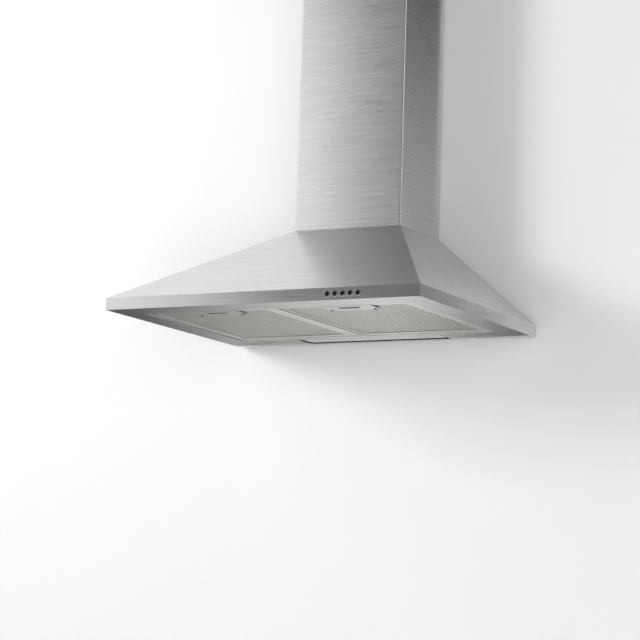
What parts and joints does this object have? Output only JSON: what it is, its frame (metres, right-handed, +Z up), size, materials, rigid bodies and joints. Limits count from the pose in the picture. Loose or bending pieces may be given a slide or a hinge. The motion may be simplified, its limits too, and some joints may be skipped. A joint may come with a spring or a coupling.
{
  "type": "chimney range hood",
  "caption": "Wall-mounted kitchen range hood: a low pyramid canopy of folded steel with grease filters, lamp and push buttons under a telescoping chimney that hides the blower.",
  "frame": {"origin": "on the wall plane, at the middle of the rear panel's back and at the height of its two hanging holes, 120 mm above the rim's bottom edge", "axes": "+Z up, -Y out of the front of the hood, +Y into the wall, +X to the right seen from the front"},
  "size_m": [0.6, 0.5026, 0.7495],
  "materials": {
    "stainless": "brushed along the long sides",
    "galvanised": "galvanised, satin",
    "filter_aluminium": "satin",
    "chrome": "polished",
    "black_plastic": "semi-gloss",
    "grey_plastic": "moulded, matte",
    "white_plastic": "moulded, matte",
    "lamp_diffuser": "frosted",
    "bulb_glass": "opal",
    "dark_steel": "satin",
    "brass": "turned"
  },
  "bodies": {
    "hood": {"canopy_shell": "stainless", "light_panel": "stainless", "lower_chimney": "stainless", "rear_panel": "galvanised", "top_plate": "galvanised", "chimney_bracket": "galvanised", "lamp_housing": "galvanised", "motor_bracket": "galvanised", "capacitor_clip": "galvanised", "bezel_strip": "chrome", "switch_block": "black_plastic", "cable_gland": "black_plastic", "blower_housing_left": "grey_plastic", "blower_housing_right": "grey_plastic", "outlet_adapter": "grey_plastic", "terminal_box": "grey_plastic", "terminal_cover": "grey_plastic", "lamp_socket_left": "white_plastic", "lamp_socket_right": "white_plastic", "capacitor": "white_plastic", "terminal_block": "white_plastic", "lamp_bulb_left": "bulb_glass", "lamp_bulb_right": "bulb_glass", "motor": "dark_steel", "damper_pin": "dark_steel"},
    "upper_chimney": {"upper_chimney": "stainless"},
    "lamp_cover": {"lamp_cover": "lamp_diffuser"},
    "rotor": {"motor_shaft": "dark_steel", "impeller_left": "black_plastic", "impeller_right": "black_plastic", "impeller_nut": "brass"},
    "damper_left": {"damper_flap_left": "grey_plastic"},
    "damper_right": {"damper_flap_right": "grey_plastic"},
    "filter_left": {"filter_frame_left": "filter_aluminium", "filter_net_left": "filter_aluminium", "filter_core_left": "filter_aluminium", "latch_plate_left": "stainless"},
    "latch_left": {"latch_left": "grey_plastic"},
    "filter_right": {"filter_frame_right": "filter_aluminium", "filter_net_right": "filter_aluminium", "filter_core_right": "filter_aluminium", "latch_plate_right": "stainless"},
    "latch_right": {"latch_right": "grey_plastic"},
    "button_1": {"button_1": "black_plastic"},
    "button_2": {"button_2": "black_plastic"},
    "button_3": {"button_3": "black_plastic"},
    "button_4": {"button_4": "black_plastic"},
    "button_5": {"button_5": "black_plastic"}
  },
  "joints": [
    {"name": "upper_chimney_slide", "type": "slide", "parent": "hood", "child": "upper_chimney", "axis": [0, 0, 1], "range_m": [-0.08, 0.28]},
    {"name": "lamp_cover_tilt", "type": "hinge", "parent": "hood", "child": "lamp_cover", "pos_m": [0, -0.02, -0.1197], "axis": [1, 0, 0], "range_deg": [0, 75]},
    {"name": "impeller_spin", "type": "hinge", "parent": "hood", "child": "rotor", "pos_m": [0, -0.097, 0.021], "axis": [1, 0, 0], "continuous": true},
    {"name": "damper_left_swing", "type": "hinge", "parent": "hood", "child": "damper_left", "pos_m": [0, -0.084, 0.1489], "axis": [0, 1, 0], "range_deg": [0, 75]},
    {"name": "damper_right_swing", "type": "hinge", "parent": "hood", "child": "damper_right", "pos_m": [0, -0.084, 0.1489], "axis": [0, -1, 0], "range_deg": [0, 75]},
    {"name": "filter_left_tilt", "type": "hinge", "parent": "hood", "child": "filter_left", "pos_m": [-0.12725, -0.089, -0.1185], "axis": [1, 0, 0], "range_deg": [0, 80]},
    {"name": "latch_left_pull", "type": "slide", "parent": "filter_left", "child": "latch_left", "axis": [0, 1, 0], "range_m": [0, 0.0055], "stiffness_N_per_m": 300},
    {"name": "filter_right_tilt", "type": "hinge", "parent": "hood", "child": "filter_right", "pos_m": [0.12725, -0.089, -0.1185], "axis": [1, 0, 0], "range_deg": [0, 80]},
    {"name": "latch_right_pull", "type": "slide", "parent": "filter_right", "child": "latch_right", "axis": [0, 1, 0], "range_m": [0, 0.0055], "stiffness_N_per_m": 300},
    {"name": "button_1_press", "type": "slide", "parent": "hood", "child": "button_1", "axis": [0, 1, 0], "range_m": [0, 0.003], "stiffness_N_per_m": 600},
    {"name": "button_2_press", "type": "slide", "parent": "hood", "child": "button_2", "axis": [0, 1, 0], "range_m": [0, 0.003], "stiffness_N_per_m": 600},
    {"name": "button_3_press", "type": "slide", "parent": "hood", "child": "button_3", "axis": [0, 1, 0], "range_m": [0, 0.003], "stiffness_N_per_m": 600},
    {"name": "button_4_press", "type": "slide", "parent": "hood", "child": "button_4", "axis": [0, 1, 0], "range_m": [0, 0.003], "stiffness_N_per_m": 600},
    {"name": "button_5_press", "type": "slide", "parent": "hood", "child": "button_5", "axis": [0, 1, 0], "range_m": [0, 0.003], "stiffness_N_per_m": 600}
  ]
}
